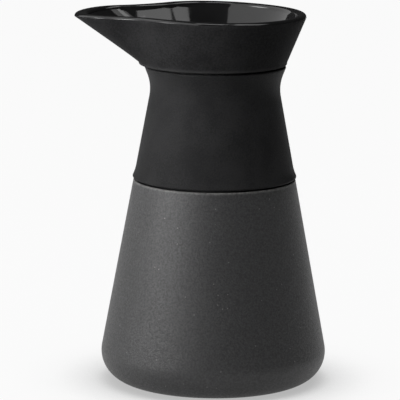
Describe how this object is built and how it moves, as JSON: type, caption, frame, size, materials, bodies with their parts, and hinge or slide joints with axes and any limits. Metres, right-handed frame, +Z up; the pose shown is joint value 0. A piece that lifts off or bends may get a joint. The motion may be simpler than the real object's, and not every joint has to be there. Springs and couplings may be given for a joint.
{
  "type": "milk jug",
  "caption": "Handleless dark stoneware milk jug: conical body, narrow waist in a silicone grip sleeve, and a funnel collar drawn out into a blunt pouring spout.",
  "frame": {"origin": "middle of the flat underside, on the axis of the round body", "axes": "+Z up along the axis of the body, towards the rim; the spout points along -X; +Y is across the spout"},
  "size_m": [0.1063, 0.094, 0.155],
  "materials": {
    "stoneware": "matte black-grey stoneware, finely speckled outside, with a glossy black glaze inside and over the lip",
    "silicone": "smooth matte black silicone"
  },
  "bodies": {
    "root": {"stoneware_vessel": "stoneware", "grip_sleeve": "silicone"}
  },
  "joints": []
}
